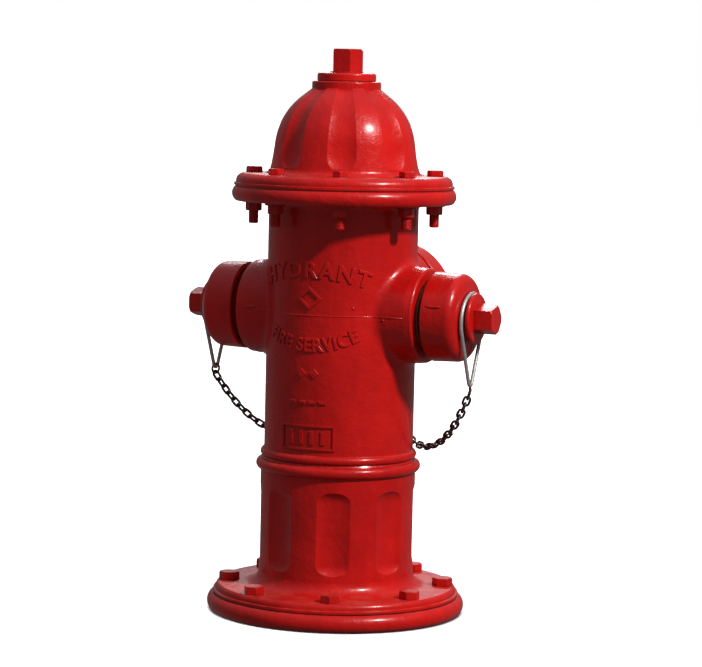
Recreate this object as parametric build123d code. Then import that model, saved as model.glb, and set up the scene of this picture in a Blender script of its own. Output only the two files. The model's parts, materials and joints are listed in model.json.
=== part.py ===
"""Dry-barrel fire hydrant, above-ground section: two hose outlets, one pumper outlet.

Frame: origin at the centre of the bottom face, +Z up, hose outlets along +X and -X,
pumper outlet along +Y.  Units are millimetres.
"""
import os
from math import asin, asinh, atan2, cos, cosh, degrees, pi, radians, sin, sinh, sqrt

from build123d import *

INCH = 25.4

# ---- heights along the barrel axis -------------------------------------------------
GROUND_FLANGE_TOP = 22.5
BARREL_BOTTOM = 24.0
BASE_FLANGE_TOP = 36.0
HUB_TOP = 190.5
TOP_FLANGE_BOTTOM = 549.0
BARREL_TOP = 568.2
BONNET_BOTTOM = 569.8
BONNET_FLANGE_TOP = 586.0
THRUST_SEAT = 672.0
BONNET_TOP = 709.0
SHIELD_TOP = 720.0
NUT_TOP = 752.0
OUTLET_HEIGHT = 404.0

# ---- radii -------------------------------------------------------------------------
GROUND_FLANGE_R = 173.0
STANDPIPE_R = 6.90 * INCH / 2          # outside of 6 in ductile iron pipe
BASE_FLANGE_R = 165.0
HUB_R = 104.0
BARREL_R = 100.0
BORE_R = 91.0
LIP = 3.2                              # thin lip at the foot of each upper flange
TOP_FLANGE_R = 149.7
BONNET_FLANGE_R = 147.0
BONNET_RING_R = 45.8
SHIELD_R = 39.0
CHAMBER_R = 35.5

# ---- raised rib frame on the -Y side -------------------------------------------------
FRAME_WIDTH = 76.0
FRAME_HEIGHT = 33.0
FRAME_BOTTOM = 227.0
FRAME_RIB = 2.6

# ---- flutes ------------------------------------------------------------------------
FLUTES = 8
FLUTE_DEPTH = 6.0
HUB_FLUTE_R = 70.0
HUB_FLUTE_BOTTOM = 56.0
HUB_FLUTE_TOP = 178.0
DOME_SHOULDER_R = 93.0
DOME_FLUTE_R = 55.0
DOME_FLUTE_DEPTH = 4.0
DOME_FLUTE_LINE = [(145.3, 620.6), (136.85, 693.5), (70.6, 748.0)]   # centre of the hollow: radius, height

# ---- fasteners ---------------------------------------------------------------------
BOLTS = 8
BOLT_START_ANGLE = 22.5
BASE_BOLT_CIRCLE_R = 144.0
BASE_BOLT_R = 5 / 16 * INCH
BASE_HEAD_FLATS = 15 / 16 * INCH
BASE_HEAD_HEIGHT = 10.5
BONNET_BOLT_CIRCLE_R = 120.6
BONNET_BOLT_R = 1 / 4 * INCH
BONNET_HEAD_FLATS = 3 / 4 * INCH
BONNET_HEAD_HEIGHT = 8.0
BONNET_NUT_HEIGHT = 11.1
SPOT_FACE = 3.0
SPOT_R = 14.0
BOLT_END = 518.0
HOLE_GAP = 0.8

# ---- operating nut and stem ----------------------------------------------------------
PENTAGON = 1.5 * INCH                   # point to opposite flat
STEM_R = 1.125 * INCH / 2
STEM_PITCH = 0.25 * INCH
STEM_TOP = 712.0
STEM_BOTTOM = 98.0
RUNNING_GAP = 0.08
NUT_SHAFT_R = 22.0
NUT_SLEEVE_R = 20.0
NUT_SLEEVE_BOTTOM = 614.0
COLLAR_R = 34.5
WASHER = 3.0
COUPLING_R = 22.0
COUPLING_BOTTOM = 66.0
COUPLING_TOP = 128.0
PIN_R = 4.0
SLEEVE_R = 16.5
SLEEVE_BOTTOM = 503.0
SLEEVE_TOP = 612.0

# ---- outlets: distances are measured out from the barrel axis -------------------------
HOSE_BOSS_R = 62.5
HOSE_BOSS_END = 128.6
HOSE_BORE_R = 2.5 * INCH / 2
HOSE_THREAD_R = 3.0686 * INCH / 2
HOSE_PITCH = INCH / 7.5
HOSE_SHANK_R = 40.0
HOSE_COLLAR_R = 46.0
HOSE_SEAT = 119.5
HOSE_TIP = 157.0
HOSE_CAP_R = 59.0
HOSE_CAP_EDGE = 138.0
PUMPER_BOSS_R = 88.0
PUMPER_BOSS_END = 135.0
BOSS_FILLET = 14.0
PUMPER_BORE_R = 4.5 * INCH / 2
PUMPER_THREAD_R = 5.76 * INCH / 2
PUMPER_PITCH = INCH / 4
PUMPER_SHANK_R = 76.0
PUMPER_COLLAR_R = 81.0
PUMPER_SEAT = 125.5
PUMPER_TIP = 171.0
PUMPER_CAP_R = 86.5
PUMPER_CAP_EDGE = 144.0
NOZZLE_START = 90.0
SEAT_GAP = 0.2
O_RING_WIRE_R = 1.2
SCREW_REACH = {"right": 112, "left": 112, "pumper": 115}
SCREW_R = 4.0
GASKET = 3.0
NECK_R = 30.0
HUB_DISC_R = 33.5

# ---- cap rings and chains ---------------------------------------------------------------
HOSE_RING_AT = 188.6
PUMPER_RING_AT = 202.1
WIRE_R = 2.5
LOOP_R = 37.0
LOOP_APEX = 88.0
LOOP_SAG = 4.2
LINK_WIRE_R = 1.4
LINK_INNER_WIDTH = 5.4
LINK_INNER_LENGTH = 11.9
LINK_PITCH = 11.3
LINK_SLACK = 0.3
BEND_TAKE_UP = 4.8
JUMP_RING_R = 6.6
JUMP_WIRE_R = 1.5
SIDE_CHAIN_LINKS = 26
PUMPER_CHAIN_LINKS = 12
EYE_R = 10.0
EYE_WIRE_R = 2.0
EYE_Y = 136.0
EYE_Z = 300.0
STRAP_SCREW_Y = 121.4
STRAP_TOP = OUTLET_HEIGHT - PUMPER_BOSS_R - 0.1
STRAP = 5.0

TO_PLUS_X = Pos(0, 0, OUTLET_HEIGHT) * Rot(0, 90, 0)
TO_MINUS_X = Pos(0, 0, OUTLET_HEIGHT) * Rot(0, -90, 0)
TO_PLUS_Y = Pos(0, 0, OUTLET_HEIGHT) * Rot(-90, 0, 0)
OUTLETS = {"right": TO_PLUS_X, "left": TO_MINUS_X, "pumper": TO_PLUS_Y}


# ---- helpers ----------------------------------------------------------------------------
def turned(start, *steps):
    """Solid turned about Z from (radius, height) points; a pair of points is an arc."""
    edges = []
    here = start
    for step in steps + (start,):
        if isinstance(step[0], tuple):
            edges.append(ThreePointArc(here, *step))
            here = step[1]
        else:
            edges.append(Line(here, step))
            here = step
    return revolve(Plane.XZ * make_face(edges), Axis.Z)


def tube(outer, inner, bottom, top):
    """Plain ring about Z."""
    return turned((inner, bottom), (outer, bottom), (outer, top), (inner, top))


def rod(radius, bottom, top):
    """Plain cylinder about Z."""
    return Pos(0, 0, bottom) * extrude(Circle(radius), top - bottom)


def around(solid, count=BOLTS, start=BOLT_START_ANGLE):
    """Copies of a solid, equally spaced about Z."""
    return [Rot(0, 0, start + 360 / count * step) * solid for step in range(count)]


def crowned(sides, flat_radius, height):
    """Hexagon or pentagon prism on Z with its upper corners turned off."""
    prism = extrude(RegularPolygon(flat_radius, sides, major_radius=False), height)
    corner = flat_radius / cos(pi / sides)
    blank = rod(corner, 0, height)
    bevel = 0.55 * (corner - flat_radius) + 0.5
    blank = chamfer(blank.edges().filter_by(GeomType.CIRCLE).sort_by(Axis.Z)[-1], bevel)
    return prism & blank


def pentagon(height):
    """Pentagon head, measured from a point to the opposite flat."""
    corner = PENTAGON / (1 + cos(pi / 5))
    return crowned(5, corner * cos(pi / 5), height)


def ridges(major, minor, pitch, bottom, top):
    """Outline points up the outside of a thread drawn as rings."""
    count = int((top - bottom) / pitch)
    points = []
    for step in range(count):
        height = bottom + step * pitch
        points += [(minor, height + 0.15 * pitch), (major, height + 0.45 * pitch)]
        points += [(major, height + 0.6 * pitch), (minor, height + 0.9 * pitch)]
    return points


def loop(top_r, bottom_r, spacing, wire):
    """Closed wire loop in the XY plane round two circles, the second `spacing` below the first."""
    lean = asin((top_r - bottom_r) / spacing)
    top_right = Vector(top_r * cos(lean), -top_r * sin(lean))
    top_left = Vector(-top_right.X, top_right.Y)
    low_right = Vector(bottom_r * cos(lean), -spacing - bottom_r * sin(lean))
    low_left = Vector(-low_right.X, low_right.Y)
    over = ThreePointArc(top_right, (0, top_r), top_left)
    under = ThreePointArc(low_left, (0, -spacing - bottom_r), low_right)
    sides = [Line(top_left, low_left), Line(low_right, top_right)]
    path = Wire([piece.edge() for piece in (over, sides[0], under, sides[1])])
    return sweep(Plane(origin=path @ 0, z_dir=path % 0) * Circle(wire), path)


# ---- castings ------------------------------------------------------------------------------
def bolt_holes(circle_r, hole_r, bottom, top):
    return around(Pos(circle_r, 0, 0) * rod(hole_r, bottom, top))


def standpipe_flange():
    """Companion flange that screws on to the buried standpipe."""
    body = turned(
        (STANDPIPE_R, 0), (GROUND_FLANGE_R - 5, 0),
        ((GROUND_FLANGE_R, 11.5), (GROUND_FLANGE_R - 7, GROUND_FLANGE_TOP)),
        (STANDPIPE_R, GROUND_FLANGE_TOP))
    return body - bolt_holes(BASE_BOLT_CIRCLE_R, BASE_BOLT_R + 0.05, 1, GROUND_FLANGE_TOP + 1)


def flat_gasket(inner, outer, bottom, top, circle_r, hole_r):
    return tube(outer, inner, bottom, top) - bolt_holes(circle_r, hole_r, bottom - 1, top + 1)


def hub_flute():
    """Long hollow with thumb-shaped ends, cut in the outside of the hub."""
    centre = HUB_R - FLUTE_DEPTH + HUB_FLUTE_R
    end_r = 20.0
    inset = end_r * (1 - sqrt(0.5))
    shank = HUB_FLUTE_R - end_r
    cutter = turned(
        (0, HUB_FLUTE_BOTTOM), (shank, HUB_FLUTE_BOTTOM),
        ((HUB_FLUTE_R - inset, HUB_FLUTE_BOTTOM + inset), (HUB_FLUTE_R, HUB_FLUTE_BOTTOM + end_r)),
        (HUB_FLUTE_R, HUB_FLUTE_TOP - end_r),
        ((HUB_FLUTE_R - inset, HUB_FLUTE_TOP - inset), (shank, HUB_FLUTE_TOP)),
        (0, HUB_FLUTE_TOP))
    return Pos(centre, 0, 0) * cutter


def barrel_shell():
    """Outside of the barrel casting below and above the outlets, still solid."""
    return turned(
        (0, BARREL_BOTTOM), (BASE_FLANGE_R, BARREL_BOTTOM),
        (BASE_FLANGE_R, BARREL_BOTTOM + LIP), (BASE_FLANGE_R - 3.2, BARREL_BOTTOM + LIP + 0.8),
        ((BASE_FLANGE_R - 4, 33), (BASE_FLANGE_R - 7, BASE_FLANGE_TOP)),
        (123, BASE_FLANGE_TOP), ((109.5, 41), (HUB_R, 53)), (HUB_R, HUB_TOP),
        ((110.4, 198), (102.5, 205.8)), (101.2, 208.3),
        ((104.7, 213.8), (BARREL_R, 219.8)), (BARREL_R, TOP_FLANGE_BOTTOM - 9),
        ((BARREL_R + 2.6, TOP_FLANGE_BOTTOM - 2.6), (BARREL_R + 9, TOP_FLANGE_BOTTOM)),
        (TOP_FLANGE_R - 5, TOP_FLANGE_BOTTOM),
        ((TOP_FLANGE_R, 558.5), (TOP_FLANGE_R - 4, BARREL_TOP)), (0, BARREL_TOP))


def outlet_bosses():
    """The three outlet necks and a core that ties them together, blended where they meet."""
    core = rod(BARREL_R, 230, 540)
    hose = turned(
        (0, 0), (HOSE_BOSS_R + 1, 0), (HOSE_BOSS_R + 1, 117.5), (HOSE_BOSS_R, 124.5),
        ((HOSE_BOSS_R - 1, 127.6), (HOSE_BOSS_R - 4, HOSE_BOSS_END)), (0, HOSE_BOSS_END))
    pumper = turned(
        (0, 0), (PUMPER_BOSS_R, 0), (PUMPER_BOSS_R, PUMPER_BOSS_END - 5),
        ((PUMPER_BOSS_R - 1.5, PUMPER_BOSS_END - 1.5), (PUMPER_BOSS_R - 5, PUMPER_BOSS_END)),
        (0, PUMPER_BOSS_END))
    body = core + TO_PLUS_X * hose + TO_MINUS_X * hose + TO_PLUS_Y * pumper
    return fillet(body.edges().filter_by(GeomType.BSPLINE), BOSS_FILLET)


def raised_frame():
    """Plain rectangular rib on the barrel's -Y side, just above the beads."""
    skin = tube(BARREL_R + 1.6, BARREL_R - 1, FRAME_BOTTOM, FRAME_BOTTOM + FRAME_HEIGHT)
    outer = Box(FRAME_WIDTH, 60, FRAME_HEIGHT)
    inner = Box(FRAME_WIDTH - 2 * FRAME_RIB, 60, FRAME_HEIGHT - 2 * FRAME_RIB)
    return skin & Pos(0, -BARREL_R, FRAME_BOTTOM + FRAME_HEIGHT / 2) * (outer - inner)


def set_screw_place(outlet):
    """Where a nozzle's lock screw enters the underside of its boss."""
    spin = {"right": 0, "left": 180, "pumper": -90}[outlet]
    return OUTLETS[outlet] * Rot(0, 0, spin) * Pos(0, 0, SCREW_REACH[outlet]) * Rot(0, 90, 0)


def nozzle_socket(shank_r, collar_r, seat):
    """Stepped hole that a nozzle is screwed into, from inside the bore to past the boss's face."""
    shank_r += SEAT_GAP
    collar_r += SEAT_GAP
    return turned((0, 60), (shank_r, 60), (shank_r, seat), (collar_r, seat), (collar_r, 140), (0, 140))


def upper_barrel():
    """Barrel casting with fluted hub, beads, flanges and outlet bosses."""
    body = barrel_shell() + outlet_bosses() + raised_frame()
    body -= around(hub_flute(), FLUTES)
    spot = rod(SPOT_R, TOP_FLANGE_BOTTOM - SPOT_FACE, TOP_FLANGE_BOTTOM + 2)
    body += around(Pos(BONNET_BOLT_CIRCLE_R, 0, 0) * spot)
    body -= turned((0, 0), (BORE_R, 0), (BORE_R, 558.2), (96, 558.2), (96, 600), (0, 600))
    for outlet in ("right", "left"):
        body -= OUTLETS[outlet] * nozzle_socket(HOSE_SHANK_R, HOSE_COLLAR_R, HOSE_SEAT)
    body -= OUTLETS["pumper"] * nozzle_socket(PUMPER_SHANK_R, PUMPER_COLLAR_R, PUMPER_SEAT)
    body -= bolt_holes(BASE_BOLT_CIRCLE_R, BASE_BOLT_R + HOLE_GAP, 20, 40)
    body -= bolt_holes(BONNET_BOLT_CIRCLE_R, BONNET_BOLT_R + HOLE_GAP, 540, 575)
    body -= Pos(0, STRAP_SCREW_Y, 0) * rod(SCREW_R + 0.05, 310, 326.5)
    for outlet in OUTLETS:
        body -= set_screw_place(outlet) * rod(SCREW_R + 0.05, 30, 95)
    return body


def dome_line():
    """Bell side, shoulder and cone of the bonnet, as one outline in (radius, height)."""
    return FilletPolyline((98.9, 594), (89.2, 666), (BONNET_RING_R, 699.5), radius=DOME_SHOULDER_R)


def dome_flute():
    """Hollow of one radius that follows the bell, from a thumb-shaped foot up to the top ring."""
    path = FilletPolyline(*DOME_FLUTE_LINE, radius=DOME_SHOULDER_R + DOME_FLUTE_R - DOME_FLUTE_DEPTH)
    path = Plane.XZ * path
    cutter = sweep(Plane(origin=path @ 0, z_dir=path % 0) * Circle(DOME_FLUTE_R), path)
    return cutter + Pos(path @ 0) * Sphere(DOME_FLUTE_R)


def bonnet():
    """Fluted bell with its flange, top ring and thrust chamber."""
    line = dome_line()
    outside = [Line((0, 594), (98.9, 594)), line, Line(line @ 1, (0, 699.5)), Line((0, 699.5), (0, 594))]
    body = revolve(Plane.XZ * make_face(outside), Axis.Z)
    body -= around(dome_flute(), FLUTES)
    body += turned(
        (0, 694), (BONNET_RING_R, 694), (BONNET_RING_R, BONNET_TOP - 2.5),
        ((BONNET_RING_R - 0.7, BONNET_TOP - 0.7), (BONNET_RING_R - 2.5, BONNET_TOP)), (0, BONNET_TOP))
    body += turned(
        (0, BONNET_BOTTOM), (BONNET_FLANGE_R, BONNET_BOTTOM),
        (BONNET_FLANGE_R, BONNET_BOTTOM + LIP), (BONNET_FLANGE_R - 2.6, BONNET_BOTTOM + LIP + 0.8),
        ((143.4, 580.2), (139.5, 584.2)), ((137, 585.5), (134, BONNET_FLANGE_TOP)),
        (109, BONNET_FLANGE_TOP), ((101.4, 588.8), (98.9, 595.2)), (0, 595.2))
    body -= turned(
        (0, 560), (84, 560), (84, 612), ((80.5, 640), (60, 662)), (21.6, 662),
        (21.6, THRUST_SEAT), (CHAMBER_R, THRUST_SEAT), (CHAMBER_R, 720), (0, 720))
    body -= bolt_holes(BONNET_BOLT_CIRCLE_R, BONNET_BOLT_R + HOLE_GAP, 560, 590)
    body -= plug_place() * rod(6.1, -30, 10)
    return body


# ---- fasteners -------------------------------------------------------------------------------
def base_bolt():
    """Cap screw through the barrel flange into the tapped ground flange."""
    head = Pos(0, 0, BASE_FLANGE_TOP) * crowned(6, BASE_HEAD_FLATS / 2, BASE_HEAD_HEIGHT)
    shank = rod(BASE_BOLT_R, 2, BASE_FLANGE_TOP + 2)
    return Pos(BASE_BOLT_CIRCLE_R, 0, 0) * (head + shank)


def bonnet_bolt():
    head = Pos(0, 0, BONNET_FLANGE_TOP) * crowned(6, BONNET_HEAD_FLATS / 2, BONNET_HEAD_HEIGHT)
    shank = rod(BONNET_BOLT_R, BOLT_END, BONNET_FLANGE_TOP + 2)
    shank = chamfer(shank.edges().filter_by(GeomType.CIRCLE).sort_by(Axis.Z)[0], 1.2)
    return Pos(BONNET_BOLT_CIRCLE_R, 0, 0) * (head + shank)


def bonnet_nut():
    seat = TOP_FLANGE_BOTTOM - SPOT_FACE
    nut = Pos(0, 0, seat) * Rot(180, 0, 0) * crowned(6, BONNET_HEAD_FLATS / 2, BONNET_NUT_HEIGHT)
    return Pos(BONNET_BOLT_CIRCLE_R, 0, 0) * (nut - rod(BONNET_BOLT_R + 0.05, 500, 560))


def plug_place():
    """Oil plug seat, square to the cone of the bonnet on the pumper side."""
    line = dome_line()
    point = line @ 0.83
    slope = line % 0.83
    tilt = degrees(atan2(slope.Y, -slope.X))
    return Rot(0, 0, 90) * Pos(point.X, 0, point.Y) * Rot(0, 90 - tilt, 0)


def oil_fill_plug():
    stem = rod(6.0, -14, 1)
    head = Pos(0, 0, 1) * crowned(6, 7.9, 6)
    return plug_place() * (stem + head)


def set_screw(outlet, nose):
    """Socket set screw in its boss, its nose against the nozzle's shank."""
    body = rod(SCREW_R, 0, 14)
    body -= Pos(0, 0, 9) * extrude(RegularPolygon(2.0, 6, major_radius=False), 6)
    return set_screw_place(outlet) * Pos(0, 0, nose) * body


# ---- operating nut and stem ---------------------------------------------------------------------
def operating_nut():
    """Pentagon head, shaft, thrust collar and threaded sleeve in one bronze piece."""
    collar_bottom = THRUST_SEAT + WASHER
    collar_top = collar_bottom + 13
    body = turned(
        (0, NUT_SLEEVE_BOTTOM), (NUT_SLEEVE_R, NUT_SLEEVE_BOTTOM), (NUT_SLEEVE_R, collar_bottom),
        (COLLAR_R, collar_bottom), (COLLAR_R, collar_top), (NUT_SHAFT_R, collar_top),
        (NUT_SHAFT_R, SHIELD_TOP + 2), (0, SHIELD_TOP + 2))
    body += Pos(0, 0, SHIELD_TOP) * Rot(0, 0, 18) * pentagon(NUT_TOP - SHIELD_TOP)
    return body - rod(STEM_R + RUNNING_GAP, NUT_SLEEVE_BOTTOM - 1, STEM_TOP + 4)


def hold_down_nut():
    """Threaded ring that keeps the operating nut down and sheds the weather."""
    seat = THRUST_SEAT + 2 * WASHER + 13
    shell = turned(
        (NUT_SHAFT_R + 0.3, seat), (CHAMBER_R - 0.1, seat), (CHAMBER_R - 0.1, BONNET_TOP),
        (SHIELD_R - 1, BONNET_TOP), (SHIELD_R, BONNET_TOP + 1), (SHIELD_R, SHIELD_TOP - 3),
        ((SHIELD_R - 0.9, SHIELD_TOP - 0.9), (SHIELD_R - 3, SHIELD_TOP)),
        (NUT_SHAFT_R + 0.3, SHIELD_TOP))
    return shell - tube(NUT_SHAFT_R + 3.0, 0, 700, 703.2)


def upper_stem():
    """Rod from the operating nut down to the breakable coupling, threaded at its top."""
    journal_r = STEM_R - 2
    root_r = STEM_R - 1.6
    body = turned(
        (0, STEM_BOTTOM), (STEM_R, STEM_BOTTOM), (STEM_R, SLEEVE_BOTTOM - 2), (journal_r, SLEEVE_BOTTOM - 1),
        (journal_r, SLEEVE_TOP + 1), (root_r, SLEEVE_TOP + 3),
        *ridges(STEM_R, root_r, STEM_PITCH, SLEEVE_TOP + 4, STEM_TOP), (root_r, STEM_TOP), (0, STEM_TOP))
    return body - Pos(0, 0, 112) * Rot(0, 90, 0) * rod(PIN_R + 0.05, -30, 30)


def stem_sleeve():
    """Bronze liner that the stem seals run on, below the threads."""
    return tube(SLEEVE_R, STEM_R - 1.95, SLEEVE_BOTTOM, SLEEVE_TOP)


def seal_plate():
    """Plate clamped over the barrel, with a boss that carries the stem seals."""
    boss_r = 30.0
    body = turned(
        (SLEEVE_R + RUNNING_GAP, 520), (boss_r, 520), (boss_r, 556), ((32, 560.5), (37, 562)),
        (86, 562), (86, 558.4), (95.7, 558.4), (95.7, BARREL_TOP), (SLEEVE_R + RUNNING_GAP, BARREL_TOP))
    for height in (528, 541):
        body -= tube(SLEEVE_R + 2.8, 0, height - 1.8, height + 1.8)
    return body - tube(97, 93.5, 561.5, 564.7)


def o_ring(radius, wire, height):
    return Pos(0, 0, height) * Torus(radius, wire)


def stem_coupling():
    """Frangible sleeve with a necked middle; the lower half takes the buried stem."""
    middle = (COUPLING_BOTTOM + COUPLING_TOP) / 2
    body = turned(
        (0, COUPLING_BOTTOM), (COUPLING_R, COUPLING_BOTTOM), (COUPLING_R, middle - 6),
        ((COUPLING_R - 5, middle), (COUPLING_R, middle + 6)), (COUPLING_R, COUPLING_TOP), (0, COUPLING_TOP))
    body -= rod(STEM_R + RUNNING_GAP, middle + 0.9, COUPLING_TOP + 1)
    body -= rod(STEM_R + RUNNING_GAP, COUPLING_BOTTOM - 1, middle - 3)
    for height in (112, 80):
        body -= Pos(0, 0, height) * Rot(0, 90, 0) * rod(PIN_R + 0.05, -30, 30)
    return body


def coupling_pin():
    """Clevis pin with a head, through the coupling and the stem."""
    body = rod(PIN_R, -27, COUPLING_R + 0.3) + rod(6.5, COUPLING_R + 0.3, COUPLING_R + 3.3)
    body -= Pos(0, 0, -24.3) * Rot(90, 0, 0) * rod(1.05, -6, 6)
    return Pos(0, 0, 112) * Rot(0, 90, 0) * body


def coupling_cotter():
    """Split pin, drawn as an eye and a closed shank."""
    shank = Pos(-24.3, 0, 112) * Rot(90, 0, 0) * rod(1.0, -7.5, 7.5)
    eye = Pos(-24.3, -9.3, 112) * Rot(0, 90, 0) * Torus(2.2, 0.9)
    return shank + eye


# ---- outlets ----------------------------------------------------------------------------------------
def hose_nozzle():
    """Bronze nozzle, screwed into its boss, with the national hose thread outside."""
    under_collar = HOSE_SEAT + 2 * O_RING_WIRE_R
    neck_r = HOSE_THREAD_R - 2.6
    return turned(
        (HOSE_BORE_R, NOZZLE_START), (HOSE_SHANK_R, NOZZLE_START), (HOSE_SHANK_R, under_collar),
        (HOSE_COLLAR_R, under_collar), (HOSE_COLLAR_R, 130.5), (neck_r, 131.5),
        *ridges(HOSE_THREAD_R, neck_r + 0.4, HOSE_PITCH, 133, HOSE_TIP - 1),
        (neck_r, HOSE_TIP), (HOSE_BORE_R, HOSE_TIP))


def pumper_nozzle():
    under_collar = PUMPER_SEAT + 2 * O_RING_WIRE_R
    neck_r = PUMPER_THREAD_R - 4.2
    return turned(
        (PUMPER_BORE_R, NOZZLE_START), (PUMPER_SHANK_R, NOZZLE_START), (PUMPER_SHANK_R, under_collar),
        (PUMPER_COLLAR_R, under_collar), (PUMPER_COLLAR_R, 137), (neck_r, 138),
        *ridges(PUMPER_THREAD_R, neck_r + 0.4, PUMPER_PITCH, 139, PUMPER_TIP - 1),
        (neck_r, PUMPER_TIP), (PUMPER_BORE_R, PUMPER_TIP))


def nozzle_o_ring(outlet):
    """Seal under a nozzle's collar."""
    shank_r, seat = (PUMPER_SHANK_R, PUMPER_SEAT) if outlet == "pumper" else (HOSE_SHANK_R, HOSE_SEAT)
    collar_r = PUMPER_COLLAR_R if outlet == "pumper" else HOSE_COLLAR_R
    middle_r = (shank_r + collar_r) / 2 + SEAT_GAP
    return OUTLETS[outlet] * o_ring(middle_r, O_RING_WIRE_R, seat + O_RING_WIRE_R)


def cap_neck(groove):
    """Outline of the ring groove, hub disc and nut seat, from the groove's inner edge outward."""
    return [
        (NECK_R, groove), (NECK_R, groove + 6.0), (HUB_DISC_R - 1, groove + 6.3),
        (HUB_DISC_R, groove + 7.3), (HUB_DISC_R, groove + 9.5),
        ((HUB_DISC_R - 0.9, groove + 11.1), (HUB_DISC_R - 2.5, groove + 12)),
        (0, groove + 12)]


def hose_cap():
    groove = HOSE_RING_AT - 3.1
    seat = HOSE_TIP + GASKET
    body = turned(
        (0, seat), (HOSE_THREAD_R + 0.2, seat), (HOSE_THREAD_R + 0.2, HOSE_CAP_EDGE),
        (44, HOSE_CAP_EDGE), (45, 166), (53.5, 166), (54, HOSE_CAP_EDGE),
        (HOSE_CAP_R - 1.5, HOSE_CAP_EDGE), (HOSE_CAP_R, HOSE_CAP_EDGE + 1.5), (HOSE_CAP_R - 1, 171),
        ((55, 179.3), (46.5, 183.5)), (36, 185), *cap_neck(groove))
    return body + Pos(0, 0, groove + 12) * Rot(0, 0, 18) * pentagon(25.5)


def pumper_cap():
    groove = PUMPER_RING_AT - 3.1
    seat = PUMPER_TIP + GASKET
    body = turned(
        (0, seat), (PUMPER_THREAD_R + 0.2, seat), (PUMPER_THREAD_R + 0.2, PUMPER_CAP_EDGE),
        (PUMPER_CAP_R - 1.5, PUMPER_CAP_EDGE), (PUMPER_CAP_R, PUMPER_CAP_EDGE + 1.5),
        (PUMPER_CAP_R - 1, 182), ((80, 190), (69, 194.5)), (36, 198.5), *cap_neck(groove))
    return body + Pos(0, 0, groove + 12) * Rot(0, 0, 18) * pentagon(25.5)


def cap_ring(distance):
    """Wire ring round a cap's neck, drawn to a point below where the chain hooks on."""
    tip_r = 6.0
    spacing = LOOP_APEX - LOOP_SAG - tip_r
    upright = Rot(0, 0, 90) * Rot(90, 0, 0)
    body = upright * loop(LOOP_R, tip_r, spacing, WIRE_R)
    return Pos(distance, 0, OUTLET_HEIGHT - LOOP_SAG) * body


# ---- chains -----------------------------------------------------------------------------------------
def catenary(start, end, length):
    """Function giving the point at a distance along a chain that hangs between two points."""
    level = Vector(end.X - start.X, end.Y - start.Y, 0)
    span = level.length
    rise = end.Z - start.Z
    goal = sqrt(length ** 2 - rise ** 2) / span
    low, high = 0.01, 20.0
    for _ in range(60):
        trial = (low + high) / 2
        if sinh(trial) / trial < goal:
            low = trial
        else:
            high = trial
    scale = span / (2 * trial)
    lowest = span / 2 - scale * asinh(rise / (2 * scale * sinh(trial)))

    def point(distance):
        across = lowest + scale * asinh(distance / scale - sinh(lowest / scale))
        drop = scale * (cosh((across - lowest) / scale) - cosh(lowest / scale))
        return start + level.normalized() * across + Vector(0, 0, drop)

    return point


def chain_link():
    bend = LINK_INNER_WIDTH / 2 + LINK_WIRE_R
    spacing = LINK_INNER_LENGTH + 2 * LINK_WIRE_R - 2 * bend
    return Pos(0, spacing / 2, 0) * loop(bend, bend, spacing, LINK_WIRE_R)


def heading(along, middle):
    return (along(middle + 1) - along(middle - 1)).normalized()


def link_middles(start, end, links):
    """Curve of a hanging chain, and how far along it each link lies: closer where it bends."""
    reach = LINK_INNER_LENGTH / 2 - LINK_SLACK
    length = links * LINK_PITCH
    for _ in range(8):
        along = catenary(start, end, length)
        middles = [reach - EYE_WIRE_R]
        while len(middles) < links:
            here = middles[-1]
            bend = radians(heading(along, here).get_angle(heading(along, here + LINK_PITCH)))
            middles.append(here + LINK_PITCH - BEND_TAKE_UP * (1 - cos(bend)))
        length = middles[-1] + reach - JUMP_WIRE_R
    return along, middles


def chain(start, end, links, normal):
    """Links from one wire to another, each a quarter turn from the last, and the last one's normal."""
    along, middles = link_middles(start, end, links)
    link = chain_link()
    pieces = []
    for middle in middles:
        forward = heading(along, middle)
        normal = (normal - forward * normal.dot(forward)).normalized()
        pieces.append(Plane(origin=along(middle), x_dir=forward.cross(normal), z_dir=normal) * link)
        normal = forward.cross(normal)
    return pieces, forward.cross(normal)


def cap_chain(ring_distance, direction, links, turn):
    """Jump ring and chain from one cap ring's tip to the eye below the pumper outlet."""
    side = direction.X
    turn = radians(turn)
    apex = direction * ring_distance + Vector(0, 0, OUTLET_HEIGHT - LOOP_APEX)
    jump_centre = apex - Vector(0, 0, JUMP_RING_R - WIRE_R - JUMP_WIRE_R - LINK_SLACK)
    hold = Vector(EYE_R * cos(turn) * side, EYE_Y, EYE_Z - EYE_R * sin(turn))
    eye_tangent = Vector(sin(turn), 0, cos(turn) * side)
    pieces, across = chain(hold, jump_centre - Vector(0, 0, JUMP_RING_R), links, eye_tangent)
    jump_plane = Plane(origin=jump_centre, z_dir=across.cross(Vector(0, 0, 1)))
    return pieces + [jump_plane * Torus(JUMP_RING_R, JUMP_WIRE_R)]


def chain_eye():
    """Forged strap under the pumper boss, with a ring for the three chains to hang from."""
    ring = Pos(0, EYE_Y, EYE_Z) * Rot(90, 0, 0) * Torus(EYE_R, EYE_WIRE_R)
    length = EYE_Y - STRAP_SCREW_Y
    plan = Pos(0, STRAP_SCREW_Y + length / 2) * Rot(0, 0, 90) * SlotCenterToCenter(length, 14)
    strap = Pos(0, 0, STRAP_TOP - STRAP) * extrude(plan, STRAP)
    web = Pos(0, EYE_Y, EYE_Z + EYE_R + 0.5) * Box(6, 4, 4)
    return ring + strap + web - Pos(0, STRAP_SCREW_Y, 0) * rod(4.3, 300, 320)


def strap_screw():
    """Hex screw that holds the chain strap to the boss."""
    head = Pos(0, 0, STRAP_TOP - STRAP) * Rot(180, 0, 0) * crowned(6, 6.5, 5.5)
    return Pos(0, STRAP_SCREW_Y, 0) * (head + rod(4.0, STRAP_TOP - STRAP - 1, 326))


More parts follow.
